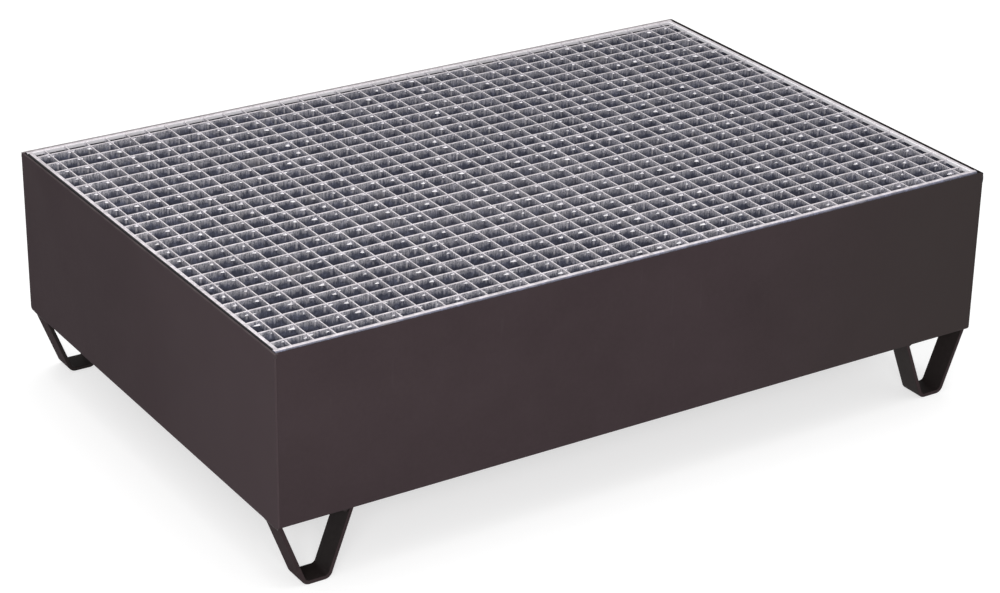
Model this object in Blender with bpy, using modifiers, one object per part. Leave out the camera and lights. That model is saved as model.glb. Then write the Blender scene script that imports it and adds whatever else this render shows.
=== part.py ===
"""Steel spill containment pallet: a folded sump pan on four bent strap feet,
with a loose galvanised press-locked grating resting on ledges inside the rim.

Metres, +Z up, +X along the long side. Origin: centre of the footprint, on the
plane the four feet stand on.
"""
import math

import bmesh
import bpy
from mathutils import Matrix, Vector

# ---------------------------------------------------------------- dimensions
LENGTH = 1.200            # footprint along X
WIDTH = 0.800             # footprint along Y
FOOT_HEIGHT = 0.100       # clear height under the pan for forks
PAN_HEIGHT = 0.260        # pan floor underside to rim
SHEET = 0.003             # pan sheet thickness
BEND_R = 0.006            # outer radius of the two long bends
BEND_STEPS = 8
GAP = 0.0003              # between pieces that touch

FOOT_BAR_W = 0.040        # flat bar 40 x 6 bent to a V with a flat sole
FOOT_BAR_T = 0.006
FOOT_TOP_HALF = 0.058     # half width over the legs at the pan
FOOT_SOLE_HALF = 0.0205   # half width of the sole before its corners are bent
FOOT_BEND_R = 0.013       # outer radius of the foot's bends
FOOT_BEND_STEPS = 6
FOOT_X = 0.539            # foot centre from the pan's middle, along X
FOOT_Y = 0.374            # foot centre from the pan's middle, along Y

GRATE_LENGTH = 1.188
GRATE_WIDTH = 0.788
GRATE_DEPTH = 0.030
GRATE_PROUD = 0.002       # grating's top over the rim
GRATE_SHIFT_X = -0.002    # the loose grating lies a little off centre
GRATE_SHIFT_Y = -0.001
MESH = 0.1 / 3.0          # 33.33 mm mesh, centre to centre
BEARING_BARS = 23         # along X
CROSS_BARS = 35           # along Y
BEARING_T = 0.003
CROSS_T = 0.002
CROSS_DEPTH = 0.010
BAND_HEAD_W = 0.008       # T-shaped edging bar
BAND_HEAD_H = 0.0065
BAND_WEB_T = 0.003

LEDGE_LEG = 0.030         # angle 30 x 30 x 3 inside the walls
LEDGE_T = 0.003
LEDGE_R = 0.005
BEAM_W = 0.050            # inverted channel under the grating's middle
BEAM_H = 0.040
BEAM_T = 0.003
BRACKET_W = 0.044         # angle seats that carry the beam's ends
BRACKET_REACH = 0.060
BRACKET_DROP = 0.043

# ------------------------------------------------------------------- derived
HX, HY = LENGTH / 2, WIDTH / 2
RIM_Z = FOOT_HEIGHT + PAN_HEIGHT
GRATE_TOP = RIM_Z + GRATE_PROUD
GRATE_BOTTOM = GRATE_TOP - GRATE_DEPTH
SEAT_Z = GRATE_BOTTOM - GAP

# -------------------------------------------------------------- clean start
for old in list(bpy.data.objects):
    bpy.data.objects.remove(old, do_unlink=True)

parts = bpy.data.collections.new("spill_containment_pallet")
tools = bpy.data.collections.new("cutters")
bpy.context.scene.collection.children.link(parts)
bpy.context.scene.collection.children.link(tools)


def material(name, colour, roughness, metallic):
    mat = bpy.data.materials.new(name)
    mat.use_nodes = True
    bsdf = mat.node_tree.nodes["Principled BSDF"]
    bsdf.inputs["Base Color"].default_value = (*colour, 1.0)
    bsdf.inputs["Roughness"].default_value = roughness
    bsdf.inputs["Metallic"].default_value = metallic
    mat.diffuse_color = (*colour, 1.0)
    return mat


PAN_PAINT = (0.052, 0.041, 0.043)
FOOT_PAINT = (0.035, 0.029, 0.029)
ZINC = (0.56, 0.54, 0.57)


def group(name, location=(0, 0, 0)):
    empty = bpy.data.objects.new(name, None)
    empty.empty_display_size = 0.05
    empty.location = location
    parts.objects.link(empty)
    return empty


def rounded(corners, radii, steps):
    """Outline through the corners, each with a radius turned to an arc."""
    out = []
    count = len(corners)
    for i, (corner, radius) in enumerate(zip(corners, radii)):
        c = Vector(corner)
        if radius <= 0:
            out.append(c)
            continue
        a = (Vector(corners[i - 1]) - c).normalized()
        b = (Vector(corners[(i + 1) % count]) - c).normalized()
        half = a.angle(b) / 2
        centre = c + (a + b).normalized() * (radius / math.sin(half))
        first = c + a * (radius / math.tan(half)) - centre
        last = c + b * (radius / math.tan(half)) - centre
        turn = math.atan2(first.x * last.y - first.y * last.x, first.dot(last))
        for k in range(steps + 1):
            t = turn * k / steps
            out.append(centre + Vector((first.x * math.cos(t) - first.y * math.sin(t),
                                        first.x * math.sin(t) + first.y * math.cos(t))))
    return out


def outline_curve(name, points, half_depth, mat):
    """A filled 2D outline with an extrude on both sides of its plane."""
    curve = bpy.data.curves.new(name, "CURVE")
    curve.dimensions = "2D"
    curve.fill_mode = "BOTH"
    curve.extrude = half_depth
    spline = curve.splines.new("POLY")
    spline.points.add(len(points) - 1)
    for point, co in zip(spline.points, points):
        point.co = (co[0], co[1], 0.0, 1.0)
    spline.use_cyclic_u = True
    curve.materials.append(mat)
    return curve


ALONG_Y = (math.pi / 2, 0.0, 0.0)          # outline drawn in XZ, depth along Y
ALONG_X = (math.pi / 2, 0.0, math.pi / 2)  # outline drawn in YZ, depth along X


def place(name, data, location, rotation, parent, collection=parts):
    obj = bpy.data.objects.new(name, data)
    obj.location = location
    obj.rotation_euler = rotation
    obj.parent = parent
    collection.objects.link(obj)
    return obj


# ======================================================================= pan
pan = group("pan")

# Folded trough: floor and the two long walls from one sheet.
trough_mat = material("pan_trough_paint", PAN_PAINT, 0.42, 0.0)
skin = rounded([(-HY, RIM_Z), (-HY, FOOT_HEIGHT), (HY, FOOT_HEIGHT), (HY, RIM_Z)],
               [0, BEND_R, BEND_R, 0], BEND_STEPS)
trough_half = HX - SHEET - GAP
bm = bmesh.new()
verts = [bm.verts.new((-trough_half, p.x, p.y)) for p in skin]
edges = [bm.edges.new((verts[i], verts[i + 1])) for i in range(len(verts) - 1)]
swept = bmesh.ops.extrude_edge_only(bm, edges=edges)
moved = [e for e in swept["geom"] if isinstance(e, bmesh.types.BMVert)]
bmesh.ops.translate(bm, verts=moved, vec=(2 * trough_half, 0, 0))
bmesh.ops.recalc_face_normals(bm, faces=bm.faces)
centre = Vector((0.0, 0.0, RIM_Z))
floor_face = min(bm.faces, key=lambda f: f.calc_center_median().z)
if floor_face.normal.dot(floor_face.calc_center_median() - centre) < 0:
    bmesh.ops.reverse_faces(bm, faces=bm.faces)
mesh = bpy.data.meshes.new("pan_trough")
bm.to_mesh(mesh)
bm.free()
mesh.materials.append(trough_mat)
trough = place("pan_trough", mesh, (0, 0, 0), (0, 0, 0), pan)
solid = trough.modifiers.new("sheet", "SOLIDIFY")
solid.thickness = SHEET
solid.offset = -1.0
solid.use_even_offset = True

# End plates that close the trough.
plate = rounded([(-HY, FOOT_HEIGHT), (HY, FOOT_HEIGHT), (HY, RIM_Z), (-HY, RIM_Z)],
                [BEND_R, BEND_R, 0, 0], BEND_STEPS)
for name, side in (("left_end_plate", -1), ("right_end_plate", 1)):
    curve = outline_curve(name, plate, SHEET / 2, material(name + "_paint", PAN_PAINT, 0.42, 0.0))
    place(name, curve, (side * (HX - SHEET / 2), 0, 0), ALONG_X, pan)

# Feet: flat bar bent to a V, its legs cut level under the floor.
foot_top = FOOT_HEIGHT - GAP
slope = (FOOT_TOP_HALF - FOOT_SOLE_HALF) / FOOT_HEIGHT
wall = FOOT_BAR_T * math.sqrt(1.0 + slope * slope)


def leg_x(z):
    return FOOT_SOLE_HALF + slope * z


outer = [(-leg_x(foot_top), foot_top), (-leg_x(0), 0), (leg_x(0), 0), (leg_x(foot_top), foot_top)]
inner = [(leg_x(foot_top) - wall, foot_top), (leg_x(FOOT_BAR_T) - wall, FOOT_BAR_T),
         (wall - leg_x(FOOT_BAR_T), FOOT_BAR_T), (wall - leg_x(foot_top), foot_top)]
r_in = FOOT_BEND_R - FOOT_BAR_T
foot_outline = rounded(outer + inner,
                       [0, FOOT_BEND_R, FOOT_BEND_R, 0, 0, r_in, r_in, 0], FOOT_BEND_STEPS)
for name, sx, sy in (("foot_front_left", -1, -1), ("foot_front_right", 1, -1),
                     ("foot_back_left", -1, 1), ("foot_back_right", 1, 1)):
    curve = outline_curve(name, foot_outline, FOOT_BAR_W / 2,
                          material(name + "_paint", FOOT_PAINT, 0.45, 0.0))
    place(name, curve, (sx * FOOT_X, sy * FOOT_Y, 0), ALONG_Y, pan)

# Angle ledges that carry the grating: one leg on the wall, one pointing inward.
ledge = rounded([(0, 0), (LEDGE_LEG, 0), (LEDGE_LEG, -LEDGE_T), (LEDGE_T, -LEDGE_T),
                 (LEDGE_T, -LEDGE_LEG), (0, -LEDGE_LEG)],
                [LEDGE_R, 0, 0, LEDGE_R - LEDGE_T, 0, 0], 3)
inside_x = HX - SHEET - GAP
inside_y = HY - SHEET - GAP
long_half = inside_x - GAP
short_half = inside_y - LEDGE_LEG - GAP
for name, half, where, turn in (
        ("front_support_ledge", long_half, (0, -inside_y, SEAT_Z), 0.0),
        ("back_support_ledge", long_half, (0, inside_y, SEAT_Z), math.pi),
        ("right_support_ledge", short_half, (inside_x, 0, SEAT_Z), math.pi / 2),
        ("left_support_ledge", short_half, (-inside_x, 0, SEAT_Z), -math.pi / 2)):
    curve = outline_curve(name, ledge, half, material(name + "_paint", PAN_PAINT, 0.45, 0.0))
    place(name, curve, where, (math.pi / 2, 0.0, math.pi / 2 + turn), pan)

# Inverted channel across the middle, with an angle seat under each end.
b, h, t = BEAM_W / 2, BEAM_H, BEAM_T
channel = rounded([(-b, -h), (-b, 0), (b, 0), (b, -h), (b - t, -h), (b - t, -t),
                   (t - b, -t), (t - b, -h)],
                  [0, LEDGE_R, LEDGE_R, 0, 0, LEDGE_R - t, LEDGE_R - t, 0], 3)
curve = outline_curve("center_support_beam", channel, short_half,
                      material("center_support_beam_paint", PAN_PAINT, 0.45, 0.0))
place("center_support_beam", curve, (0, 0, SEAT_Z), ALONG_Y, pan)

seat = rounded([(0, 0), (BRACKET_REACH, 0), (BRACKET_REACH, -BEAM_T), (BEAM_T, -BEAM_T),
                (BEAM_T, -BRACKET_DROP), (0, -BRACKET_DROP)],
               [LEDGE_R, 0, 0, LEDGE_R - BEAM_T, 0, 0], 3)
seat_z = SEAT_Z - BEAM_H - GAP
for name, side, turn in (("front_beam_bracket", -1, 0.0), ("back_beam_bracket", 1, math.pi)):
    curve = outline_curve(name, seat, BRACKET_W / 2, material(name + "_paint", PAN_PAINT, 0.45, 0.0))
    place(name, curve, (0, side * inside_y, seat_z), (math.pi / 2, 0.0, math.pi / 2 + turn), pan)

# =================================================================== grating
# One loose panel; its empty sits on the seat, in the middle of the panel.
grating = group("grating", (GRATE_SHIFT_X, GRATE_SHIFT_Y, GRATE_BOTTOM))
GX, GY = GRATE_LENGTH / 2, GRATE_WIDTH / 2

# Bearing bars along X, slotted from above for the cross bars.
bar_half = GX - BAND_HEAD_W - GAP
slot = CROSS_T / 2 + GAP
slot_floor = GRATE_DEPTH - CROSS_DEPTH - GAP
comb = [(-bar_half, 0.0), (bar_half, 0.0), (bar_half, GRATE_DEPTH)]
for k in reversed(range(CROSS_BARS)):
    x = (k - (CROSS_BARS - 1) / 2) * MESH
    comb += [(x + slot, GRATE_DEPTH), (x + slot, slot_floor),
             (x - slot, slot_floor), (x - slot, GRATE_DEPTH)]
comb.append((-bar_half, GRATE_DEPTH))
bar_mat = material("bearing_bar_zinc", ZINC, 0.38, 0.9)
bar_curve = outline_curve("bearing_bar", comb, BEARING_T / 2, bar_mat)
for k in range(BEARING_BARS):
    y = (k - (BEARING_BARS - 1) / 2) * MESH
    place("bearing_bar_%02d" % (k + 1), bar_curve, (0, y, 0), ALONG_Y, grating)

# T-shaped edging bars: a wide head on a thin web.
tee = [(-BAND_WEB_T / 2, 0), (BAND_WEB_T / 2, 0),
       (BAND_WEB_T / 2, GRATE_DEPTH - BAND_HEAD_H), (BAND_HEAD_W / 2, GRATE_DEPTH - BAND_HEAD_H),
       (BAND_HEAD_W / 2, GRATE_DEPTH), (-BAND_HEAD_W / 2, GRATE_DEPTH),
       (-BAND_HEAD_W / 2, GRATE_DEPTH - BAND_HEAD_H), (-BAND_WEB_T / 2, GRATE_DEPTH - BAND_HEAD_H)]
end_half = GY - BAND_HEAD_W - GAP
for name, side in (("left_end_band", -1), ("right_end_band", 1)):
    curve = outline_curve(name, tee, end_half, material(name + "_zinc", ZINC, 0.38, 0.9))
    place(name, curve, (side * (GX - BAND_HEAD_W / 2), 0, 0), ALONG_Y, grating)

# Cross bars along Y, welded at both ends into the long edging bars.
frame_mat = material("cross_bar_zinc", ZINC, 0.38, 0.9)
band_curve = outline_curve("long_band", tee, GX, frame_mat)
band = place("long_band", band_curve, (0, -(GY - BAND_HEAD_W / 2), 0), ALONG_X, grating)
bpy.context.view_layer.update()
depsgraph = bpy.context.evaluated_depsgraph_get()
mesh = bpy.data.meshes.new_from_object(band.evaluated_get(depsgraph))
world = band.matrix_world.copy()
bpy.data.objects.remove(band, do_unlink=True)
bm = bmesh.new()
bm.from_mesh(mesh)
bmesh.ops.remove_doubles(bm, verts=bm.verts, dist=1e-5)
bmesh.ops.recalc_face_normals(bm, faces=bm.faces)
bm.to_mesh(mesh)
bm.free()
frame = bpy.data.objects.new("cross_bars_and_long_bands", mesh)
parts.objects.link(frame)
frame.parent = grating
frame.matrix_world = world
mirror = frame.modifiers.new("back_band", "MIRROR")
mirror.use_axis = (False, True, False)
mirror.mirror_object = grating
mirror.use_mirror_merge = False
mirror.merge_threshold = 1e-5

bpy.ops.mesh.primitive_cube_add(size=1.0)
rungs = bpy.context.object
rungs.name = "cross_bar_set"
for holder in list(rungs.users_collection):
    holder.objects.unlink(rungs)
tools.objects.link(rungs)
rungs.data.transform(Matrix.Diagonal((CROSS_T, 2 * (GY - BAND_HEAD_W / 2), CROSS_DEPTH, 1.0)))
rungs.parent = grating
rungs.location = (-(CROSS_BARS - 1) / 2 * MESH, 0, GRATE_DEPTH - CROSS_DEPTH / 2)
rungs.hide_render = True
rungs.display_type = "WIRE"
row = rungs.modifiers.new("row", "ARRAY")
row.count = CROSS_BARS
row.use_relative_offset = False
row.use_constant_offset = True
row.constant_offset_displace = (MESH, 0, 0)
row.merge_threshold = 1e-5
weld = frame.modifiers.new("weld", "BOOLEAN")
weld.operation = "UNION"
weld.solver = "EXACT"
weld.use_self = True
weld.object = rungs
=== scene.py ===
"""Looks of the spill containment pallet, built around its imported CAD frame.

Metres, in the row frame: +X along the long side, +Z up, the feet stand on z = 0.
Every piece keeps its object at the origin, so object coordinates ride with it.
"""
import math

import bpy
import numpy as np
from mathutils import Matrix, Vector, noise


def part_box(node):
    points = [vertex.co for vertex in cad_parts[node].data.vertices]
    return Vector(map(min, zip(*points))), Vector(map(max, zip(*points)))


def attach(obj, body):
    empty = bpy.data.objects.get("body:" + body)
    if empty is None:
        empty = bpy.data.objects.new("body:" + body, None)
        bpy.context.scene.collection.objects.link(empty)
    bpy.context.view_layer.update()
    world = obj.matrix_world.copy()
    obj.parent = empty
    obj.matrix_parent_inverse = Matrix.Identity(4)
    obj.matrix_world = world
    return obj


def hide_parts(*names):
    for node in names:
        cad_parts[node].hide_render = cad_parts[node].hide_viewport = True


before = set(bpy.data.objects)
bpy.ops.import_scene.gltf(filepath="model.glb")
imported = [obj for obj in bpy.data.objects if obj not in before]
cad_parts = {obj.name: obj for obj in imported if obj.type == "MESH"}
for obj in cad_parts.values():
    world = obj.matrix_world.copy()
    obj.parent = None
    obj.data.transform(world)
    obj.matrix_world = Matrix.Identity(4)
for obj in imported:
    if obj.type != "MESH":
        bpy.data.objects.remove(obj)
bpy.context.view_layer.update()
rng = np.random.default_rng(20261)

# ------------------------------------------------------------------ camera
scene = bpy.context.scene
scene.view_settings.view_transform = "Standard"

CAM_F = 2771.95            # focal length in pixels of a 1000 wide image
CAM_AZ = math.radians(-32.8825)
CAM_EL = math.radians(25.0487)
CAM_ROLL = math.radians(-0.9307)
CAM_DIST = 4.06992
CAM_TARGET = Vector((-0.0856762, -0.134938, 0.212881))

back = Vector((math.sin(CAM_AZ) * math.cos(CAM_EL),
               -math.cos(CAM_AZ) * math.cos(CAM_EL), math.sin(CAM_EL)))
ahead = -back
side = ahead.cross(Vector((0, 0, 1))).normalized()
down = ahead.cross(side)
c, s = math.cos(CAM_ROLL), math.sin(CAM_ROLL)
right, below = c * side + s * down, -s * side + c * down
cam_data = bpy.data.cameras.new("camera")
cam_data.sensor_width = 36.0
cam_data.lens = CAM_F / 1000.0 * 36.0
cam_data.clip_end = 100.0
cam = bpy.data.objects.new("camera", cam_data)
place = Matrix((right, -below, back)).transposed().to_4x4()
place.translation = CAM_TARGET + back * CAM_DIST
cam.matrix_world = place
scene.collection.objects.link(cam)
scene.camera = cam

# -------------------------------------------------------------- dimensions
# Places come from the frame's boxes; sheet sizes repeat the CAD's.
SHEET = 0.003
BEND_R = 0.006
trough_lo, trough_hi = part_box("pan_trough")
left_lo, left_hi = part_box("left_end_plate")
right_lo, right_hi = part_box("right_end_plate")
HX, HY = right_hi.x, trough_hi.y
FLOOR_Z, RIM_Z = trough_lo.z, trough_hi.z
IN_X, IN_Y = HX - SHEET, HY - SHEET

frame_lo, frame_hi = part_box("cross_bars_and_long_bands")
GX, GY = (frame_hi.x - frame_lo.x) / 2, (frame_hi.y - frame_lo.y) / 2
G0 = (frame_hi + frame_lo) / 2
G_TOP, G_LOW = frame_hi.z, frame_lo.z
G_DEPTH = G_TOP - G_LOW
MESH = 0.1 / 3.0
N_BEAR, N_CROSS = 23, 35
BEAR_T, CROSS_T, CROSS_D = 0.003, 0.002, 0.010
HEAD_W, HEAD_H, WEB_T = 0.008, 0.0065, 0.003
SEAT_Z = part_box("front_support_ledge")[1].z


# --------------------------------------------------------------- materials
class Graph:
    """Short calls for building one material's nodes."""

    def __init__(self, name):
        self.mat = bpy.data.materials.new(name)
        self.mat.use_nodes = True
        self.tree = self.mat.node_tree
        self.bsdf = self.tree.nodes["Principled BSDF"]
        self.coord = self.tree.nodes.new("ShaderNodeTexCoord").outputs["Object"]

    def link(self, a, b):
        self.tree.links.new(a, b)

    def scaled(self, x, y, z):
        n = self.tree.nodes.new("ShaderNodeMapping")
        n.inputs["Scale"].default_value = (x, y, z)
        self.link(self.coord, n.inputs["Vector"])
        return n.outputs["Vector"]

    def noise(self, scale, detail=3.0, rough=0.55, vector=None, distort=0.0):
        n = self.tree.nodes.new("ShaderNodeTexNoise")
        n.inputs["Scale"].default_value = scale
        n.inputs["Detail"].default_value = detail
        n.inputs["Roughness"].default_value = rough
        n.inputs["Distortion"].default_value = distort
        self.link(vector or self.coord, n.inputs["Vector"])
        return n.outputs["Fac"]

    def cells(self, scale, vector=None, output="Color", feature="F1"):
        n = self.tree.nodes.new("ShaderNodeTexVoronoi")
        n.feature = feature
        n.inputs["Scale"].default_value = scale
        self.link(vector or self.coord, n.inputs["Vector"])
        return n.outputs[output]

    def math(self, op, a, b=None, c=None, clamp=False):
        n = self.tree.nodes.new("ShaderNodeMath")
        n.operation = op
        n.use_clamp = clamp
        for socket, value in zip(n.inputs, (a, b, c)):
            if value is None:
                continue
            if isinstance(value, (int, float)):
                socket.default_value = value
            else:
                self.link(value, socket)
        return n.outputs[0]

    def remap(self, value, a, b, lo, hi, smooth=False):
        n = self.tree.nodes.new("ShaderNodeMapRange")
        if smooth:
            n.interpolation_type = "SMOOTHSTEP"
        self.link(value, n.inputs["Value"])
        for key, v in (("From Min", a), ("From Max", b), ("To Min", lo), ("To Max", hi)):
            n.inputs[key].default_value = v
        return n.outputs[0]

    def ramp(self, value, stops):
        n = self.tree.nodes.new("ShaderNodeValToRGB")
        e = n.color_ramp.elements
        while len(e) < len(stops):
            e.new(0.5)
        for el, (pos, col) in zip(e, stops):
            el.position = pos
            el.color = (*col, 1.0)
        self.link(value, n.inputs["Fac"])
        return n.outputs["Color"]

    def mix(self, fac, a, b, mode="MIX"):
        n = self.tree.nodes.new("ShaderNodeMix")
        n.data_type = "RGBA"
        n.blend_type = mode
        if isinstance(fac, (int, float)):
            n.inputs[0].default_value = fac
        else:
            self.link(fac, n.inputs[0])
        for socket, value in ((n.inputs[6], a), (n.inputs[7], b)):
            if isinstance(value, tuple):
                socket.default_value = (*value, 1.0)
            else:
                self.link(value, socket)
        return n.outputs[2]

    def split(self, vector=None):
        n = self.tree.nodes.new("ShaderNodeSeparateXYZ")
        self.link(vector or self.coord, n.inputs[0])
        return n.outputs

    def normal_z(self):
        n = self.tree.nodes.new("ShaderNodeNewGeometry")
        return self.split(n.outputs["Normal"])[2]

    def bump(self, height, strength, distance, under=None):
        n = self.tree.nodes.new("ShaderNodeBump")
        n.inputs["Strength"].default_value = strength
        n.inputs["Distance"].default_value = distance
        self.link(height, n.inputs["Height"])
        if under is not None:
            self.link(under, n.inputs["Normal"])
        return n.outputs["Normal"]

    def finish(self, colour, roughness, normal, metallic=0.0, specular=0.5, coat=0.0):
        self.link(colour, self.bsdf.inputs["Base Color"])
        self.link(roughness, self.bsdf.inputs["Roughness"])
        self.link(normal, self.bsdf.inputs["Normal"])
        self.bsdf.inputs["Metallic"].default_value = metallic
        self.bsdf.inputs["Specular IOR Level"].default_value = specular
        if coat:
            self.bsdf.inputs["Coat Weight"].default_value = coat
            self.bsdf.inputs["Coat Roughness"].default_value = 0.25
        return self.mat


def powder_coat(name, dark, light, rub_and_highlight, painted_light_on_pan=False, specular=0.3, rough=(0.42, 0.52)):
    """Satin powder coat: faint blotches, orange peel, rub marks; on the pan also a painted highlight on the rim
    and corner edges, and painted light and shade across the walls.
    """
    g = Graph(name)
    cloud = g.noise(5.5, 5.0, 0.6)
    grain = g.noise(140.0, 2.0, 0.5)
    tone = g.math("ADD", g.math("MULTIPLY", cloud, 0.75), g.math("MULTIPLY", grain, 0.25))
    colour = g.ramp(tone, [(0.36, dark), (0.64, light)])
    # dust and fine rub marks that run down the sheet
    runs = g.noise(1.0, 4.0, 0.65, vector=g.scaled(70.0, 70.0, 5.0))
    rub = g.remap(runs, 0.62, 0.80, 0.0, 0.16, smooth=True)
    colour = g.mix(rub, colour, rub_and_highlight)
    if painted_light_on_pan:
        x, y, z = g.split()
        patchy = g.remap(g.noise(38.0, 3.0, 0.6), 0.35, 0.65, 0.35, 1.0)
        # painted highlight: the left plate's rim top and the pan's vertical corner edges are mixed towards the
        # pale colour
        rim = g.remap(z, RIM_Z - 0.0018, RIM_Z - 0.0002, 0.0, 0.75, smooth=True)
        corner = g.math("MULTIPLY",
                        g.remap(g.math("ABSOLUTE", x), HX - SHEET - 0.0002, HX - SHEET + 0.0004, 0.0, 1.0),
                        g.remap(g.math("ABSOLUTE", y), HY - 0.0012, HY - 0.0001, 0.0, 0.13))
        rim = g.math("MULTIPLY", rim, g.remap(x, SHEET + 0.001 - HX, SHEET + 0.004 - HX, 1.0, 0.0))
        edge = g.math("MULTIPLY", g.math("MAXIMUM", rim, corner), patchy, clamp=True)
        # painted light: the left plate is lighter towards its front; painted shade: the walls are darker and
        # drabber towards the right
        on_left = g.remap(x, 0.002 - HX, 0.004 - HX, 1.0, 0.0)
        painted_light_left_front = g.math("MULTIPLY", on_left, g.remap(y, -0.40, 0.30, 1.0, 0.0, smooth=True), clamp=True)
        colour = g.mix(painted_light_left_front, colour, tuple(v * 1.15 for v in light))
        painted_shade_right = g.remap(x, 0.05, HX, 0.0, 0.80, smooth=True)
        colour = g.mix(painted_shade_right, colour, (0.0350, 0.0288, 0.0278))
        colour = g.mix(edge, colour, rub_and_highlight)
        # painted shade: a dark line along the inside top of the right plate's rim
        painted_shade_right_rim = g.math("MULTIPLY", g.remap(x, HX - SHEET - 0.0004, HX - SHEET, 0.0, 0.8),
                      g.remap(z, RIM_Z - 0.0016, RIM_Z - 0.0004, 0.0, 1.0), clamp=True)
        colour = g.mix(painted_shade_right_rim, colour, (0.014, 0.012, 0.0125))
        # the back rim's top is painted paler, in patches
        pale_back_rim = g.math("MULTIPLY", g.remap(y, HY - SHEET - 0.0006, HY - SHEET, 0.0, 0.85),
                        g.remap(z, RIM_Z - 0.0008, RIM_Z - 0.0001, 0.0, 1.0), clamp=True)
        pale_back_rim = g.math("MULTIPLY", pale_back_rim, g.remap(g.noise(55.0, 4.0, 0.6), 0.30, 0.60, 0.65, 1.0))
        colour = g.mix(pale_back_rim, colour, (0.42, 0.39, 0.40))
    peel = g.noise(330.0, 2.0, 0.45)
    fine = g.noise(1500.0, 1.0, 0.5)
    height = g.math("ADD", peel, g.math("MULTIPLY", fine, 0.25))
    normal = g.bump(height, 0.22, 0.0002)
    roughness = g.remap(g.noise(9.0, 4.0, 0.6), 0.3, 0.7, rough[0], rough[1])
    return g.finish(colour, roughness, normal, specular=specular)


def weld_paint(name, dark, light):
    """The same coat over weld beads: rougher, with a mottled tone."""
    g = Graph(name)
    tone = g.noise(160.0, 3.0, 0.6)
    colour = g.ramp(tone, [(0.35, dark), (0.70, light)])
    height = g.noise(700.0, 3.0, 0.6)
    normal = g.bump(height, 0.35, 0.0003)
    roughness = g.remap(g.noise(60.0, 3.0, 0.6), 0.3, 0.7, 0.40, 0.58)
    return g.finish(colour, roughness, normal, specular=0.15)


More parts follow.
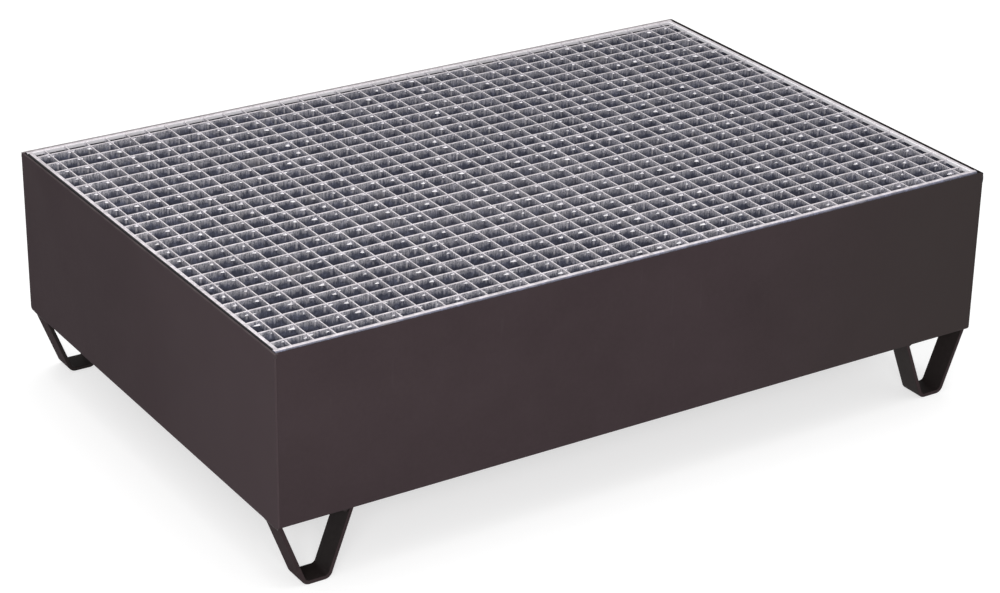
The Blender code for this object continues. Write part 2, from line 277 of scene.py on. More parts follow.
def galvanised(name, lift=0.0, metallic=0.35, painted_side_shade=(0.108, 0.114, 0.160), frost_and_top_light=0.92,
               head=0.0, up_from=(0.35, 0.75), contrast=(0.70, 2.1), painted_gap_shade=False):
    """Hot-dip zinc: fine spangle, hazy patches and runs down the sides; the sides are a painted-shade ground
    under a painted-light upper edge.
    """
    g = Graph(name)
    warp = g.tree.nodes.new("ShaderNodeVectorMath")
    warp.operation = "MULTIPLY_ADD"
    shake = g.tree.nodes.new("ShaderNodeTexNoise")
    shake.inputs["Scale"].default_value = 60.0
    g.link(g.coord, shake.inputs["Vector"])
    g.link(shake.outputs["Color"], warp.inputs[0])
    warp.inputs[1].default_value = (0.012, 0.012, 0.012)
    g.link(g.coord, warp.inputs[2])
    spangle = g.split(g.cells(170.0, vector=warp.outputs[0]))[0]
    mottle = g.noise(75.0, 5.0, 0.65)
    haze = g.noise(7.0, 4.0, 0.6)
    tone = g.math("ADD", g.math("MULTIPLY", spangle, 0.26),
                  g.math("ADD", g.math("MULTIPLY", mottle, 0.52), g.math("MULTIPLY", haze, 0.22)))
    tops = g.ramp(tone, [(0.30, TOP_TONES[0]), (0.47, TOP_TONES[1]), (0.68, TOP_TONES[2])])
    x, y, z = g.split()
    duller = g.remap(g.math("ADD", y, g.math("MULTIPLY", x, 0.75)), -0.35, 0.45, 0.0, 0.24, smooth=True)
    tops = g.mix(duller, tops, (0.36, 0.335, 0.345))
    if lift:
        # painted light: random patches of the tops mixed towards near-white
        painted_light_patches = g.remap(g.noise(33.0, 1.0, 0.5), 0.36, 0.56, 0.62 * lift, lift, smooth=True)
        tops = g.mix(painted_light_patches, tops, (0.93, 0.92, 0.94))
    # sides: whiter runs near the top that thin out downwards, painted light over a darker, bluer ground of
    # painted shade and painted reflection
    runs = g.noise(1.0, 6.0, 0.75, vector=g.scaled(330.0, 330.0, 70.0))
    reach = g.noise(1.0, 3.0, 0.6, vector=g.scaled(42.0, 42.0, 6.0))
    grain = g.noise(420.0, 3.0, 0.7)
    depth = g.math("SUBTRACT", G_TOP, z)
    fall = g.math("MULTIPLY", g.math("POWER", g.math("ADD", g.math("MULTIPLY", reach, 0.8),
                                                    g.math("MULTIPLY", runs, 0.8)), 2.2), 0.0150)
    painted_light_near_top = g.math("SUBTRACT", 1.0, g.math("DIVIDE", depth, fall), clamp=True)
    patch = g.math("ADD", g.math("MULTIPLY", runs, 0.55), g.math("MULTIPLY", grain, 0.45))
    white = g.math("MULTIPLY", g.math("POWER", painted_light_near_top, 0.8), g.remap(patch, 0.42, 0.55, 0.12, 1.05), clamp=True)
    white = g.math("MULTIPLY", white, g.math("SUBTRACT", 1.0, duller))
    if head:
        # painted light: the head's sides are whitened down to the head's depth
        painted_light_on_head = g.remap(depth, HEAD_H - 0.0004, HEAD_H + 0.0002, head, 0.0)
        white = g.math("MAXIMUM", white, painted_light_on_head)
    # splashes where the bath drained along a bar into the corner of a crossing, painted near-white: zinc and a
    # painted highlight
    to_cross = g.math("PINGPONG", g.math("SUBTRACT", x, G0.x), MESH / 2)
    splash_and_highlight = g.math("MULTIPLY", g.remap(to_cross, 0.0011, 0.0015, 0.0, 1.0),
                    g.remap(to_cross, 0.004, 0.013, 1.0, 0.0, smooth=True))
    splash_and_highlight = g.math("MULTIPLY", splash_and_highlight, g.remap(g.math("ABSOLUTE", g.math("SUBTRACT", depth, 0.0052)),
                                                0.0008, 0.0050, 1.0, 0.0, smooth=True))
    splash_and_highlight = g.math("MULTIPLY", splash_and_highlight, g.remap(g.noise(1.0, 4.0, 0.7, vector=g.scaled(210.0, 210.0, 330.0)),
                                                0.46, 0.62, 0.0, 0.9), clamp=True)
    white = g.math("MAXIMUM", white, splash_and_highlight)
    # drips below them, also painted near-white: zinc and a painted highlight
    drip_and_highlight = g.math("MULTIPLY", g.remap(to_cross, 0.0011, 0.0015, 0.0, 1.0),
                  g.remap(to_cross, 0.0030, 0.0062, 1.0, 0.0, smooth=True))
    drip_and_highlight = g.math("MULTIPLY", drip_and_highlight, g.remap(depth, 0.0090, 0.0150, 0.85, 0.0, smooth=True))
    drip_and_highlight = g.math("MULTIPLY", drip_and_highlight, g.remap(g.noise(1.0, 2.0, 0.6, vector=g.scaled(60.0, 60.0, 30.0)),
                                            0.44, 0.58, 0.0, 0.95), clamp=True)
    white = g.math("MAXIMUM", white, drip_and_highlight)
    cloudy = g.remap(g.noise(3.4, 2.0, 0.5), 0.56, 0.70, 0.0, 0.50, smooth=True)
    # one broad area left of the middle where the sides are paler and hazier
    shade_x = g.math("POWER", g.math("MULTIPLY", g.math("SUBTRACT", x, 0.0), 1 / 0.25), 2.0)
    shade_y = g.math("POWER", g.math("MULTIPLY", g.math("SUBTRACT", y, -0.13), 1 / 0.12), 2.0)
    spread = g.math("ADD", g.math("ADD", shade_x, shade_y),
                    g.math("MULTIPLY", g.math("SUBTRACT", g.noise(9.0, 3.0, 0.6), 0.5), 2.0))
    cloudy = g.math("MAXIMUM", cloudy, g.remap(spread, 0.3, 1.3, 0.42, 0.0, smooth=True))
    cloudy = g.math("MULTIPLY", cloudy, g.remap(depth, 0.005, 0.013, 1.0, 0.12, smooth=True))
    # and the bar ends next to the edging's head painted near-white: zinc bridged there and painted light
    end_x = g.remap(g.math("ABSOLUTE", g.math("SUBTRACT", x, G0.x)), GX - HEAD_W - 0.0075, GX - HEAD_W - 0.0035, 0.0, 0.9)
    end_y = g.remap(g.math("ABSOLUTE", g.math("SUBTRACT", y, G0.y)), GY - HEAD_W - 0.0075, GY - HEAD_W - 0.0035, 0.0, 0.9)
    bridged_zinc_and_painted_light = g.math("MULTIPLY", g.math("MAXIMUM", end_x, end_y),
                     g.remap(depth, HEAD_H - 0.0012, HEAD_H, 1.0, 0.0, smooth=True), clamp=True)
    white = g.math("MAXIMUM", white, bridged_zinc_and_painted_light)
    white = g.math("MAXIMUM", white, g.math("MULTIPLY", cloudy, g.remap(patch, 0.36, 0.62, 0.1, 1.0), clamp=True))
    # the sides' ground is much darker and bluer than the tops: painted shade and a painted bluish reflection
    ground = g.ramp(g.math("ADD", g.math("MULTIPLY", tone, 0.35), g.math("MULTIPLY", patch, 0.65)),
                    [(0.38, tuple(v * contrast[0] for v in painted_side_shade)), (0.50, painted_side_shade),
                     (0.64, tuple(v * contrast[1] for v in painted_side_shade))])
    sides = g.mix(g.math("MULTIPLY", white, frost_and_top_light, clamp=True), ground, (0.84, 0.81, 0.84))
    if lift:
        # painted light on the sides as well
        sides = g.mix(painted_light_patches, sides, (0.93, 0.92, 0.95))
    # level faces take the tops' tones, the others the painted-shade sides
    up = g.remap(g.math("ABSOLUTE", g.normal_z()), up_from[0], up_from[1], 0.0, 1.0, smooth=True)
    colour = g.mix(up, sides, tops)
    if head:
        # painted shadow: a dark line just under the head
        painted_shadow_under_head = g.math("MULTIPLY", g.remap(depth, HEAD_H - 0.0001, HEAD_H + 0.0003, 0.0, 0.92),
                      g.remap(depth, HEAD_H + 0.0012, HEAD_H + 0.0028, 1.0, 0.0, smooth=True), clamp=True)
        colour = g.mix(painted_shadow_under_head, colour, (0.012, 0.011, 0.013))
    patina = g.remap(g.noise(17.0, 3.0, 0.5), 0.58, 0.74, 0.0, 0.30, smooth=True)
    colour = g.mix(patina, colour, (0.50, 0.465, 0.455))
    if painted_gap_shade:
        # painted shade in the gap: the outer side darkens near its top
        gap_shade_mask = g.remap(g.math("ADD", depth, g.math("MULTIPLY", g.math("SUBTRACT", runs, 0.5), 0.004)),
                       0.0052, 0.0085, 1.0, 0.0, smooth=True)
        colour = g.mix(g.math("MULTIPLY", gap_shade_mask, 0.97), colour, (0.0065, 0.0058, 0.0062))
    skin = g.noise(240.0, 4.0, 0.6)
    waves = g.noise(1.0, 3.0, 0.5, vector=g.scaled(150.0, 150.0, 30.0))
    height = g.math("ADD", g.math("MULTIPLY", skin, 0.5), g.math("MULTIPLY", waves, 0.5))
    normal = g.bump(height, 0.55, 0.0006)
    roughness = g.remap(g.math("ADD", g.math("MULTIPLY", mottle, 0.6), g.math("MULTIPLY", spangle, 0.4)),
                        0.25, 0.75, 0.36, 0.58)
    return g.finish(colour, roughness, normal, metallic=metallic, specular=0.5)


TOP_TONES = ((0.52, 0.482, 0.505), (0.66, 0.612, 0.645), (0.79, 0.742, 0.775))
PAN = powder_coat("pan_powder_coat", (0.0365, 0.0262, 0.0288), (0.0430, 0.0312, 0.0342),
                  (0.085, 0.070, 0.072), painted_light_on_pan=True, specular=0.012, rough=(0.52, 0.62))
# FOOT is a painted-shade copy of the feet's coat for the faces in shade under the pan; the lighter FOOT_FACE goes
# on the lit faces
FOOT = powder_coat("foot_powder_coat_painted_shade", (0.0140, 0.0108, 0.0106), (0.0215, 0.0170, 0.0166),
                   (0.048, 0.040, 0.040), specular=0.045, rough=(0.46, 0.60))
FOOT_FACE = powder_coat("foot_powder_coat", (0.0290, 0.0205, 0.0218), (0.0375, 0.0270, 0.0285),
                        (0.075, 0.060, 0.062), specular=0.004, rough=(0.50, 0.62))
WELD = weld_paint("weld_powder_coat", (0.0200, 0.0150, 0.0155), (0.0420, 0.0330, 0.0340))
ZINC = galvanised("hot_dip_zinc")
# the edging: painted light on the head's sides, painted shadow under the head
ZINC_BAND = galvanised("hot_dip_zinc_edging", head=0.9, frost_and_top_light=0.95)
# painted light: a lighter copy for the long bands' inward head faces
ZINC_HEAD = galvanised("hot_dip_zinc_edging_head", lift=0.30, metallic=0.15, head=1.0, frost_and_top_light=1.0)
# painted light: a near-white copy for the end bands' inward head faces
ZINC_HEAD_PAINTED_LIGHT = galvanised("hot_dip_zinc_edging_head_painted_light", lift=0.98, metallic=0.02, head=1.0, frost_and_top_light=1.0)
# painted shade: a darker, bluer copy for the front band's outward side
ZINC_EDGE = galvanised("hot_dip_zinc_edging_outside", painted_side_shade=(0.083, 0.088, 0.142), frost_and_top_light=0.12,
                       metallic=0.12, up_from=(0.86, 0.99), contrast=(0.50, 2.6))
# painted shade: a dark copy for the band sides in the gap by the rim
ZINC_GAP_SHADE = galvanised("hot_dip_zinc_in_the_gap_painted_shade", painted_side_shade=(0.083, 0.088, 0.142), frost_and_top_light=0.12,
                        metallic=0.05, up_from=(0.88, 0.99), contrast=(0.50, 2.6), painted_gap_shade=True)
# painted highlight: pooled zinc painted near-white
ZINC_BEAD = galvanised("hot_dip_zinc_pooled_painted_highlight", lift=0.80, metallic=0.25)


# ---------------------------------------------------------------- geometry
def rounded(corners, radii, steps):
    """Closed outline through the corners, each with a radius turned to an arc."""
    out = []
    count = len(corners)
    for i, (corner, radius) in enumerate(zip(corners, radii)):
        p = Vector(corner)
        if radius <= 0:
            out.append(p)
            continue
        a = (Vector(corners[i - 1]) - p).normalized()
        b = (Vector(corners[(i + 1) % count]) - p).normalized()
        half = a.angle(b) / 2
        centre = p + (a + b).normalized() * (radius / math.sin(half))
        first = p + a * (radius / math.tan(half)) - centre
        last = p + b * (radius / math.tan(half)) - centre
        turn = math.atan2(first.x * last.y - first.y * last.x, first.dot(last))
        for k in range(steps + 1):
            t = turn * k / steps
            out.append(centre + Vector((first.x * math.cos(t) - first.y * math.sin(t),
                                        first.x * math.sin(t) + first.y * math.cos(t))))
    return out


CORNER_LIFT = {(-1, -1): -0.0012, (1, -1): 0.0002, (-1, 1): -0.0001, (1, 1): 0.0}


def settled(v):
    """The loose grating is slightly twisted from its zinc bath, by about a millimetre
    at its corners. Where it sinks, only its upper part does, so it stays on its seat."""
    u = min(1.0, max(0.0, (v[0] - G0.x + GX) / (2 * GX)))
    w = min(1.0, max(0.0, (v[1] - G0.y + GY) / (2 * GY)))
    lift = (CORNER_LIFT[-1, -1] * (1 - u) * (1 - w) + CORNER_LIFT[1, -1] * u * (1 - w)
            + CORNER_LIFT[-1, 1] * (1 - u) * w + CORNER_LIFT[1, 1] * u * w)
    lift += 0.00022 * noise.noise(Vector((v[0] * 6.0, v[1] * 6.0, 3.0)))
    if lift < 0:
        lift *= min(1.0, max(0.0, (v[2] - G_LOW) / G_DEPTH))
    return (v[0], v[1], v[2] + lift)


def piece(name, verts, faces, mat, body, stands_for=(), sharp=35.0, bevel=0.0,
          bevel_steps=2, bevel_angle=40.0, second=None, is_second=None, third=None, is_third=None):
    if body == "grating":
        verts = [settled(v) for v in verts]
    mesh = bpy.data.meshes.new(name)
    mesh.from_pydata([tuple(v) for v in verts], [], [tuple(f) for f in faces])
    mesh.update()
    mesh.polygons.foreach_set("use_smooth", [True] * len(mesh.polygons))
    mesh.set_sharp_from_angle(angle=math.radians(sharp))
    mesh.materials.append(mat)
    if second:
        mesh.materials.append(second)
        for i, face in enumerate(mesh.polygons):
            if is_second(i, face):
                face.material_index = 1
    if third:
        mesh.materials.append(third)
        for i, face in enumerate(mesh.polygons):
            if is_third(i, face):
                face.material_index = 2
    obj = bpy.data.objects.new(name, mesh)
    scene.collection.objects.link(obj)
    if bevel:
        m = obj.modifiers.new("edges", "BEVEL")
        m.width = bevel
        m.segments = bevel_steps
        m.limit_method = "ANGLE"
        m.angle_limit = math.radians(bevel_angle)
        m.harden_normals = True
        m.miter_outer = "MITER_ARC"
    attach(obj, body)
    if stands_for:
        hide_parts(*stands_for)
    return obj


def prism(outline, lo, hi, to_row, rings=1):
    """An outline extruded from lo to hi. to_row(a, b, d) gives the row-frame point."""
    n = len(outline)
    verts = []
    for k in range(rings + 1):
        d = lo + (hi - lo) * k / rings
        verts += [to_row(p[0], p[1], d) for p in outline]
    faces = []
    for k in range(rings):
        for i in range(n):
            j = (i + 1) % n
            faces.append((k * n + i, k * n + j, (k + 1) * n + j, (k + 1) * n + i))
    faces.append(tuple(reversed(range(n))))
    faces.append(tuple(range(rings * n, rings * n + n)))
    # outlines may be drawn either way round: turn the faces outward
    area = sum(outline[i][0] * outline[(i + 1) % n][1] - outline[(i + 1) % n][0] * outline[i][1]
               for i in range(n))
    o = Vector(to_row(0, 0, 0))
    hand = (Vector(to_row(1, 0, 0)) - o).cross(Vector(to_row(0, 1, 0)) - o).dot(
        Vector(to_row(0, 0, 1)) - o)
    if area * hand < 0:
        faces = [tuple(reversed(f)) for f in faces]
    return verts, faces


def bead(points, into, onto, size_a, size_b, seed, pitch=0.0032, step=0.0008, ripple=0.16):
    """A fillet weld along points. into and onto are the two directions away from
    the corner along the plates, size_a and size_b its leg on each."""
    r = np.random.default_rng(seed)
    pts = [Vector(p) for p in points]
    legs = [(b - a).length for a, b in zip(pts, pts[1:])]
    total = sum(legs)
    count = max(6, int(total / step))
    verts, faces = [], []
    shape = [(0.0, 0.0), (1.0, 0.0), (0.80, 0.30), (0.56, 0.56), (0.30, 0.80), (0.0, 1.0)]
    n = len(shape)
    offset = r.uniform(0, 10)
    for k in range(count + 1):
        d = total * k / count
        left, i = d, 0
        while i < len(legs) - 1 and left > legs[i]:
            left -= legs[i]
            i += 1
        at = pts[i].lerp(pts[i + 1], min(1.0, left / legs[i]))
        a = Vector(into[i] if isinstance(into, list) else into)
        b = Vector(onto[i] if isinstance(onto, list) else onto)
        wave = 1.0 - ripple * abs(math.sin(math.pi * d / pitch)) ** 0.7
        wave += 0.10 * noise.noise(Vector((d * 160.0, offset, 0.0)))
        end = min(1.0, (min(d, total - d) + 0.0004) / 0.0035)
        grow = wave * math.sqrt(max(0.05, end))
        for u, v in shape:
            bulge = 1.0 if u * v == 0 else 1.0 + 0.10 * (wave - 0.9)
            verts.append(at + a * (size_a * u * grow * bulge) + b * (size_b * v * grow * bulge))
    for k in range(count):
        for i in range(n):
            j = (i + 1) % n
            faces.append((k * n + i, k * n + j, (k + 1) * n + j, (k + 1) * n + i))
    faces.append(tuple(reversed(range(n))))
    faces.append(tuple(range(count * n, count * n + n)))
    a = Vector(into[0] if isinstance(into, list) else into)
    b = Vector(onto[0] if isinstance(onto, list) else onto)
    if a.cross(b).dot(pts[1] - pts[0]) < 0:
        faces = [tuple(reversed(f)) for f in faces]
    return verts, faces


def joined(parts):
    verts, faces = [], []
    for v, f in parts:
        base = len(verts)
        verts += list(v)
        faces += [tuple(i + base for i in face) for face in f]
    return verts, faces


# --------------------------------------------------------------------- pan
# Folded trough: floor and long walls from one sheet, rolled bends, faintly wavy.
def subdivided(path, longest):
    out = [path[0]]
    for a, b in zip(path, path[1:]):
        cuts = max(1, int(math.ceil((b - a).length / longest)))
        out += [a.lerp(b, k / cuts) for k in range(1, cuts + 1)]
    return out


outer_path = rounded([(-HY, RIM_Z), (-HY, FLOOR_Z), (HY, FLOOR_Z), (HY, RIM_Z)],
                     [0, BEND_R, BEND_R, 0], 12)
outer_path = subdivided(outer_path, 0.032)
inner_path = rounded([(-IN_Y, RIM_Z), (-IN_Y, FLOOR_Z + SHEET), (IN_Y, FLOOR_Z + SHEET), (IN_Y, RIM_Z)],
                     [0, BEND_R - SHEET, BEND_R - SHEET, 0], 12)
inner_path = subdivided(inner_path, 0.032)
RINGS = 40


def oil_can(x, y, z):
    """Sheet steel is never quite flat: up to 0.4 mm, still at every edge and bend."""
    u = 1.0 - min(1.0, abs(x) / IN_X) ** 6
    v = max(0.0, math.sin(math.pi * min(1.0, max(0.0, (z - FLOOR_Z - 0.01) / (RIM_Z - FLOOR_Z - 0.01)))))
    w = max(0.0, math.cos(0.5 * math.pi * min(1.0, abs(y) / (HY - 0.012))))
    n1 = noise.noise(Vector((x * 3.1 + 5.0, y * 2.0, z * 4.0)))
    on_wall = abs(y) > HY - 0.0045
    on_floor = z < FLOOR_Z + 0.0045 and abs(y) < HY - 0.008
    if on_wall and z > FLOOR_Z + 0.01:
        return Vector((0, 0.0004 * n1 * u * v, 0))
    if on_floor:
        return Vector((0, 0, 0.0008 * n1 * u * w))
    return Vector((0, 0, 0))


trough_outline = list(outer_path) + list(reversed(inner_path))
tv, tf = prism([(p.x, p.y) for p in trough_outline], -IN_X + 0.00005, IN_X - 0.00005,
               lambda a, b, d: (d, a, b), rings=RINGS)
tv = [Vector(v) + oil_can(*v) for v in tv]
piece("pan_trough_sheet", tv, tf, PAN, "pan", ["pan_trough"],
      bevel=0.0005, bevel_angle=55)

plate = rounded([(-HY, FLOOR_Z), (HY, FLOOR_Z), (HY, RIM_Z), (-HY, RIM_Z)],
                [BEND_R, BEND_R, 0, 0], 12)
for name, lo, hi in (("left_end_plate", -HX, -IN_X), ("right_end_plate", IN_X, HX)):
    v, f = prism(plate, lo, hi, lambda a, b, d: (d, a, b))
    piece(name + "_sheet", v, f, PAN, "pan", [name], bevel=0.0005)

# Seam welds inside, round the U of each end plate.
seam_path = rounded([(-IN_Y, RIM_Z - 0.006), (-IN_Y, FLOOR_Z + SHEET), (IN_Y, FLOOR_Z + SHEET),
                     (IN_Y, RIM_Z - 0.006)], [0, BEND_R - SHEET, BEND_R - SHEET, 0], 5)
for name, sign in (("left_seam_weld", -1), ("right_seam_weld", 1)):
    pts = [Vector((sign * IN_X, p.x, p.y)) for p in seam_path]
    inward = []
    for a, b in zip(pts, pts[1:]):
        t = (b - a).normalized()
        inward.append(Vector((0, -t.z, t.y)))
    v, f = bead(pts, Vector((-sign, 0, 0)), inward, 0.0042, 0.0042, 11 + sign, step=0.0016)
    piece(name, v, f, WELD, "pan")

# The seams are welded flush outside too; each weld ends in a small lump at the rim.
lumps = []
for sx, sy, height, swell in ((1, -1, 0.020, 0.0036), (-1, -1, 0.008, 0.0026),
                              (1, 1, 0.014, 0.0032), (-1, 1, 0.010, 0.0030)):
    verts, faces, around, levels = [], [], 16, 14
    for k in range(levels + 1):
        share = k / levels
        size = swell * (0.28 + 0.72 * math.sin(math.pi * min(1.0, 0.06 + 0.94 * share)) ** 0.6)
        size *= 1.0 + 0.06 * noise.noise(Vector((share * 4.0, sx, sy)))
        for m in range(around):
            t = 2 * math.pi * m / around
            verts.append(Vector((sx * (HX - 0.0022) + size * math.cos(t), sy * (HY - 0.0022) + size * math.sin(t),
                                 RIM_Z - 0.0006 - height * share)))
    for k in range(levels):
        for m in range(around):
            n = (m + 1) % around
            faces.append((k * around + m, (k + 1) * around + m, (k + 1) * around + n, k * around + n))
    faces.append(tuple(range(around)))
    faces.append(tuple(reversed(range(levels * around, (levels + 1) * around))))
    lumps.append((verts, faces))
v, f = joined(lumps)
piece("corner_seam_ends", v, f, WELD, "pan")

# Feet: rolled flat bar bent to a V, legs cut level under the floor.
FOOT_TOP_HALF, FOOT_SOLE_HALF = 0.058, 0.0205
FOOT_T, FOOT_BEND_R = 0.006, 0.013
foot_top = FLOOR_Z - 0.00005
slope = (FOOT_TOP_HALF - FOOT_SOLE_HALF) / FLOOR_Z
wall = FOOT_T * math.sqrt(1.0 + slope * slope)


def leg_x(z):
    return FOOT_SOLE_HALF + slope * z


f_outer = [(-leg_x(foot_top), foot_top), (-leg_x(0), 0), (leg_x(0), 0), (leg_x(foot_top), foot_top)]
f_inner = [(leg_x(foot_top) - wall, foot_top), (leg_x(FOOT_T) - wall, FOOT_T),
           (wall - leg_x(FOOT_T), FOOT_T), (wall - leg_x(foot_top), foot_top)]
r_in = FOOT_BEND_R - FOOT_T
foot_outline = rounded(f_outer + f_inner, [0, FOOT_BEND_R, FOOT_BEND_R, 0, 0, r_in, r_in, 0], 14)
lean = Vector((slope, 0, 1)).normalized()      # up a right-hand leg
# the y-facing faces of the front feet and the outward face of each end leg take FOOT_FACE, the rest the
# painted-shade FOOT
for name, sx, sy in (("foot_front_left", -1, -1), ("foot_front_right", 1, -1),
                     ("foot_back_left", -1, 1), ("foot_back_right", 1, 1)):
    lo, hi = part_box(name)
    cx, y0, y1 = (lo.x + hi.x) / 2, lo.y, hi.y
    v, f = prism(foot_outline, y0, y1, lambda a, b, d: (cx + a, d, b))
    piece(name + "_bar", v, f, FOOT, "pan", [name], bevel=0.0011,
          bevel_steps=4, bevel_angle=55, second=FOOT_FACE,
          is_second=lambda i, face: (abs(face.normal.y) > 0.6 and sy < 0
                                     or face.normal.x * sx > 0.5 and (face.center.x - cx) * sx > 0))
    beads = []
    inset = 0.0015
    for k, leg in enumerate((-1, 1)):
        down_leg = Vector((-leg * lean.x, 0, -lean.z))
        outer_x = cx + leg * leg_x(foot_top)
        inner_x = cx + leg * (leg_x(foot_top) - wall)
        at_end = leg * sx > 0
        beads.append(bead([(inner_x, y0 + inset, FLOOR_Z), (inner_x, y1 - inset, FLOOR_Z)],
                          Vector((-leg, 0, 0)), down_leg, 0.0130 if leg * sx < 0 else 0.0090,
                          0.0075 if leg * sx < 0 else 0.0048, 31 + 7 * k + sx + 3 * sy))
        beads.append(bead([(outer_x, y0 + inset, FLOOR_Z), (outer_x, y1 - inset, FLOOR_Z)],
                          Vector((leg, 0, 0)), down_leg, 0.0031 if at_end else 0.0060,
                          0.0078 if at_end else 0.0050, 61 + 7 * k + sx + 3 * sy))
    v, f = joined(beads)
    piece(name + "_welds", v, f, WELD, "pan")

# Angle ledges inside the walls, their stitch welds underneath.
LEDGE_LEG, LEDGE_T, LEDGE_R = 0.030, 0.003, 0.005
ledge = rounded([(0, 0), (LEDGE_LEG, 0), (LEDGE_LEG, -LEDGE_T), (LEDGE_T, -LEDGE_T),
                 (LEDGE_T, -LEDGE_LEG), (0, -LEDGE_LEG)],
                [LEDGE_R, 0, 0, LEDGE_R - LEDGE_T, 0, 0], 8)
for name, axis, sign in (("front_support_ledge", "x", -1), ("back_support_ledge", "x", 1),
                         ("left_support_ledge", "y", -1), ("right_support_ledge", "y", 1)):
    lo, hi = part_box(name)
    if axis == "x":
        v, f = prism(ledge, lo.x, hi.x,
                     lambda a, b, d: (d, sign * (IN_Y - a), SEAT_Z + b))
        ends = (lo.x, hi.x)
    else:
        v, f = prism(ledge, lo.y, hi.y,
                     lambda a, b, d: (sign * (IN_X - a), d, SEAT_Z + b))
        ends = (lo.y, hi.y)
    piece(name + "_angle", v, f, PAN, "pan", [name], bevel=0.0005)
    low = SEAT_Z - LEDGE_LEG
    stitches = []
    many = 7 if axis == "x" else 5
    for k in range(many):
        mid = ends[0] + (ends[1] - ends[0]) * (k + 0.5) / many
        if axis == "x":
            pts = [(mid - 0.016, sign * IN_Y, low), (mid + 0.016, sign * IN_Y, low)]
            inward = Vector((0, -sign, 0))
        else:
            pts = [(sign * IN_X, mid - 0.016, low), (sign * IN_X, mid + 0.016, low)]
            inward = Vector((-sign, 0, 0))
        stitches.append(bead(pts, inward, Vector((0, 0, -1)), 0.0029, 0.0036, 100 + k + 3 * sign, step=0.0012))
    v, f = joined(stitches)
    piece(name + "_stitch_welds", v, f, WELD, "pan")

# Inverted channel across the middle, on an angle seat at each end.
BEAM_W, BEAM_H, BEAM_T = 0.050, 0.040, 0.003
b, h, t = BEAM_W / 2, BEAM_H, BEAM_T
channel = rounded([(-b, -h), (-b, 0), (b, 0), (b, -h), (b - t, -h), (b - t, -t), (t - b, -t), (t - b, -h)],
                  [0, LEDGE_R, LEDGE_R, 0, 0, LEDGE_R - t, LEDGE_R - t, 0], 8)
lo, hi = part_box("center_support_beam")
v, f = prism(channel, lo.y, hi.y, lambda a, b, d: (a, d, hi.z + b))
piece("center_support_beam_channel", v, f, PAN, "pan",
      ["center_support_beam"], bevel=0.0005)
REACH, DROP = 0.060, 0.043
seat = rounded([(0, 0), (REACH, 0), (REACH, -t), (t, -t), (t, -DROP), (0, -DROP)],
               [LEDGE_R, 0, 0, LEDGE_R - t, 0, 0], 8)
for name, sign in (("front_beam_bracket", -1), ("back_beam_bracket", 1)):
    lo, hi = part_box(name)
    v, f = prism(seat, lo.x, hi.x, lambda a, b, d: (d, sign * (IN_Y - a), hi.z + b))
    piece(name + "_angle", v, f, PAN, "pan", [name], bevel=0.0005)
    parts = []
    for edge in (-1, 1):
        x = (lo.x + hi.x) / 2 + edge * (hi.x - lo.x) / 2
        parts.append(bead([(x, sign * IN_Y, hi.z - 0.008), (x, sign * IN_Y, hi.z - DROP + 0.004)],
                          Vector((edge, 0, 0)), Vector((0, -sign, 0)), 0.0040, 0.0028,
                          200 + edge + 5 * sign, step=0.0012))
    v, f = joined(parts)
    piece(name + "_welds", v, f, WELD, "pan")

# ----------------------------------------------------------------- grating
bear_ys = [G0.y + (k - (N_BEAR - 1) / 2) * MESH for k in range(N_BEAR)]
cross_xs = [G0.x + (k - (N_CROSS - 1) / 2) * MESH for k in range(N_CROSS)]

# Bearing bars: combs whose slots hold the cross bars; ends notched under the band's head.
top_half = GX - HEAD_W + 0.0001
low_half = GX - HEAD_W / 2 - WEB_T / 2 + 0.0001
slot = CROSS_T / 2 + 0.00002
comb = [(-low_half, 0.0), (low_half, 0.0), (low_half, G_DEPTH - HEAD_H - 0.0002),
        (top_half, G_DEPTH - HEAD_H - 0.0002), (top_half, G_DEPTH - 0.0002)]
for x in reversed(cross_xs):
    xr = x - G0.x
    comb += [(xr + slot, G_DEPTH), (xr + slot, G_DEPTH - CROSS_D), (xr - slot, G_DEPTH - CROSS_D),
             (xr - slot, G_DEPTH)]
comb += [(-top_half, G_DEPTH - 0.0002), (-top_half, G_DEPTH - HEAD_H - 0.0002),
         (-low_half, G_DEPTH - HEAD_H - 0.0002)]
for k, y in enumerate(bear_ys):
    name = "bearing_bar_%02d" % (k + 1)
    v, f = prism(comb, y - BEAR_T / 2, y + BEAR_T / 2, lambda a, b, d: (G0.x + a, d, G_LOW + b))
    piece(name + "_flat", v, f, ZINC, "grating", [name], bevel=0.00035,
          bevel_steps=2, bevel_angle=60)

# Cross bars, pressed in flush.
for k, x in enumerate(cross_xs):
    reach = GY - HEAD_W / 2 - WEB_T / 2 + 0.0001
    outline = [(-CROSS_T / 2, G_DEPTH - CROSS_D), (CROSS_T / 2, G_DEPTH - CROSS_D),
               (CROSS_T / 2, G_DEPTH - 0.00005), (-CROSS_T / 2, G_DEPTH - 0.00005)]
    v, f = prism(outline, G0.y - reach, G0.y + reach, lambda a, b, d: (x + a, d, G_LOW + b), rings=24)
    piece("cross_bar_%02d" % (k + 1), v, f, ZINC, "grating",
          ["cross_bars_and_long_bands"], bevel=0.0003)

# T-shaped edging bars with rolled, rounded heads.
hw, web, hb = HEAD_W / 2, WEB_T / 2, G_DEPTH - HEAD_H
def tee(outward):
    """Edging profile; the side that faces outward is rolled rounder."""
    out = [(-web, 0), (web, 0), (web, hb), (hw, hb), (hw, G_DEPTH), (-hw, G_DEPTH), (-hw, hb), (-web, hb)]
    right, left = (0.0026, 0.0014) if outward > 0 else (0.0014, 0.0026)
    return rounded(out, [0.0005, 0.0005, 0.0008, 0.0010, right, left, 0.0010, 0.0008], 6)


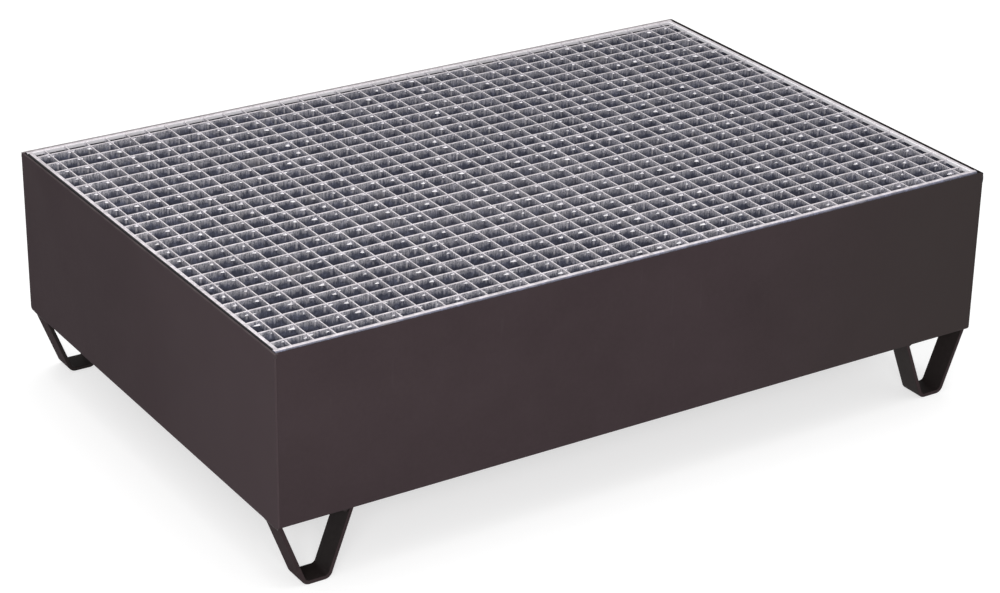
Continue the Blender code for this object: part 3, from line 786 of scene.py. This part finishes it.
# front and back bands: the outward side is a painted-shade copy (ZINC_EDGE at the front, the gap's painted shade
# at the back), the inward head face a painted-light copy
for name, sign in (("front_long_band", -1), ("back_long_band", 1)):
    yb = G0.y + sign * (GY - HEAD_W / 2)
    v, f = prism(tee(sign), G0.x - GX, G0.x + GX, lambda a, b, d: (d, yb + a, G_LOW + b), rings=24)
    piece(name, v, f, ZINC_BAND, "grating", ["cross_bars_and_long_bands"],
          bevel=0.0006, bevel_angle=60, second=ZINC_EDGE if sign < 0 else ZINC_GAP_SHADE,
          is_second=lambda i, face: face.normal.y * sign > 0.25 or abs(face.normal.x) > 0.9,
          third=ZINC_HEAD,
          is_third=lambda i, face: face.normal.y * sign < -0.5 and face.center.z > G_TOP - HEAD_H)
# end bands: the outward side takes the gap's painted shade, the inward head face the near-white painted-light
# copy
for name, sign in (("left_end_band", -1), ("right_end_band", 1)):
    xb = G0.x + sign * (GX - HEAD_W / 2)
    half = GY - HEAD_W + 0.0002
    v, f = prism(tee(sign), G0.y - half, G0.y + half, lambda a, b, d: (xb + a, d, G_LOW + b), rings=16)
    piece(name + "_tee", v, f, ZINC_BAND, "grating", [name], bevel=0.0002,
          bevel_angle=60, second=ZINC_GAP_SHADE, is_second=lambda i, face: face.normal.x * sign > 0.25,
          third=ZINC_HEAD_PAINTED_LIGHT,
          is_third=lambda i, face: face.normal.x * sign < -0.5 and face.center.z > G_TOP - HEAD_H)

# Zinc left in the corners: a thin fillet down each, and a pooled bead part way.
corners = []      # x, y of the corner, the two directions away from the bars, top, bottom
for x in cross_xs:
    for y in bear_ys:
        for sx in (-1, 1):
            for sy in (-1, 1):
                corners.append((x + sx * CROSS_T / 2, y + sy * BEAR_T / 2, sx, sy, 0.0004, CROSS_D))
n_cross_corners = len(corners)
for y in bear_ys:
    for side_sign in (-1, 1):
        for sy in (-1, 1):
            corners.append((G0.x + side_sign * (GX - HEAD_W), y + sy * BEAR_T / 2, -side_sign, sy,
                            0.0012, HEAD_H))
for x in cross_xs:
    for side_sign in (-1, 1):
        for sx in (-1, 1):
            corners.append((x + sx * CROSS_T / 2, G0.y + side_sign * (GY - HEAD_W), sx, -side_sign,
                            0.0012, HEAD_H))
corners = np.array(corners)
count = len(corners)
# rings down each corner: depth as a share of the corner's, size in mm, how full it is
tent = [(0.00, 0.25, 0.34), (0.20, 0.45, 0.34), (0.38, 0.75, 0.36), (0.45, 1.50, 0.42),
        (0.51, 3.20, 0.56), (0.61, 3.80, 0.60), (0.70, 1.20, 0.50)]
bar_tent = [(0.00, 0.55, 0.34), (0.20, 0.90, 0.34), (0.40, 1.00, 0.34), (0.60, 1.00, 0.34),
            (0.80, 1.10, 0.36), (0.92, 1.30, 0.40), (1.00, 0.40, 0.40)]
crossing = np.arange(count) < n_cross_corners
V = np.zeros((count, len(tent), 4, 3))
# the bath drained towards the back: pools sit higher and tighter in the corners there
far = np.clip((corners[:, 1] + 0.25) / 0.45, 0.0, 1.0)
high = rng.random(count) < 0.30 + 0.60 * far
swing = np.where(high, rng.uniform(0.22, 0.55, count), rng.uniform(0.80, 1.10, count))
pool = np.where(rng.random(count) < 0.90, rng.uniform(0.62, 1.25, count), rng.uniform(0.15, 0.4, count))
lean_x = np.where(crossing, rng.uniform(1.2, 2.2, count) - 0.35 * far, 1.0)
lean_y = np.where(crossing, rng.uniform(0.45, 0.85, count) + 0.40 * far, 1.0)
for i, ((la, ra, ma), (lb, rb, mb)) in enumerate(zip(tent, bar_tent)):
    level = np.where(crossing, la * swing, lb)
    grow = np.where(crossing, ra * np.where(ra > 1.2, pool, 1.0), rb) * rng.uniform(0.85, 1.15, count)
    full = np.where(crossing, ma, mb)
    z = G_TOP - corners[:, 4] - (corners[:, 5] - corners[:, 4]) * level
    for j, (u, w) in enumerate(((0, 0), (1, 0), (None, None), (0, 1))):
        u = full if u is None else u
        w = full if w is None else w
        V[:, i, j, 0] = corners[:, 0] + corners[:, 2] * (u * grow * lean_x * 0.001 - 0.0001)
        V[:, i, j, 1] = corners[:, 1] + corners[:, 3] * (w * grow * lean_y * 0.001 - 0.0001)
        V[:, i, j, 2] = z
quads = []
for i in range(len(tent) - 1):
    for j in range(4):
        jn = (j + 1) % 4
        quads.append((i * 4 + j, i * 4 + jn, (i + 1) * 4 + jn, (i + 1) * 4 + j))
quads.append((3, 2, 1, 0))
quads.append(tuple(range((len(tent) - 1) * 4, len(tent) * 4)))
hand = corners[:, 2] * corners[:, 3]
faces = []
for n in range(count):
    base = n * len(tent) * 4
    for q in quads:
        face = tuple(base + i for i in q)
        faces.append(face if hand[n] < 0 else tuple(reversed(face)))
per = len(quads)
# the lower rings of the crossing pools take ZINC_BEAD: painted highlight
piece("zinc_corner_pools", V.reshape(-1, 3), faces, ZINC, "grating", sharp=80,
      second=ZINC_BEAD, is_second=lambda i, face: i // per < n_cross_corners and i % per >= 12)

# ------------------------------------------------------------------- stage
mesh = bpy.data.meshes.new("studio_floor")
mesh.from_pydata([(-30, -30, 0), (30, -30, 0), (30, 30, 0), (-30, 30, 0)], [], [(0, 1, 2, 3)])
floor = bpy.data.objects.new("studio_floor", mesh)
scene.collection.objects.link(floor)
g = Graph("studio_floor_paint")
g.bsdf.inputs["Emission Color"].default_value = (1.0, 1.0, 1.0, 1.0)
g.bsdf.inputs["Emission Strength"].default_value = 0.60      # a back-lit white table
g.finish(g.ramp(g.noise(0.8, 2.0), [(0.3, (0.49, 0.49, 0.49)), (0.7, (0.51, 0.51, 0.51))]),
         g.remap(g.noise(3.0, 2.0), 0.3, 0.7, 0.85, 0.95), g.bump(g.noise(40.0, 2.0), 0.05, 0.0005),
         specular=0.1)
mesh.materials.append(g.mat)

world = bpy.data.worlds.new("studio")
scene.world = world
world.use_nodes = True
world.node_tree.nodes["Background"].inputs["Color"].default_value = (1.0, 1.0, 1.0, 1.0)
world.node_tree.nodes["Background"].inputs["Strength"].default_value = 0.55


def softbox(name, size, at, towards, power):
    data = bpy.data.lights.new(name, "AREA")
    data.shape = "RECTANGLE"
    data.size, data.size_y = size
    data.energy = power
    obj = bpy.data.objects.new(name, data)
    obj.location = at
    obj.rotation_euler = (Vector(towards) - Vector(at)).to_track_quat("-Z", "Y").to_euler()
    scene.collection.objects.link(obj)
    return obj


softbox("overhead_softbox", (4.5, 3.5), (0.3, 0.4, 3.6), (0, 0, 0.3), 90.0)
softbox("front_softbox", (2.2, 1.1), (-2.45, -3.75, 2.30), (0, 0, 0.3), 115.0)
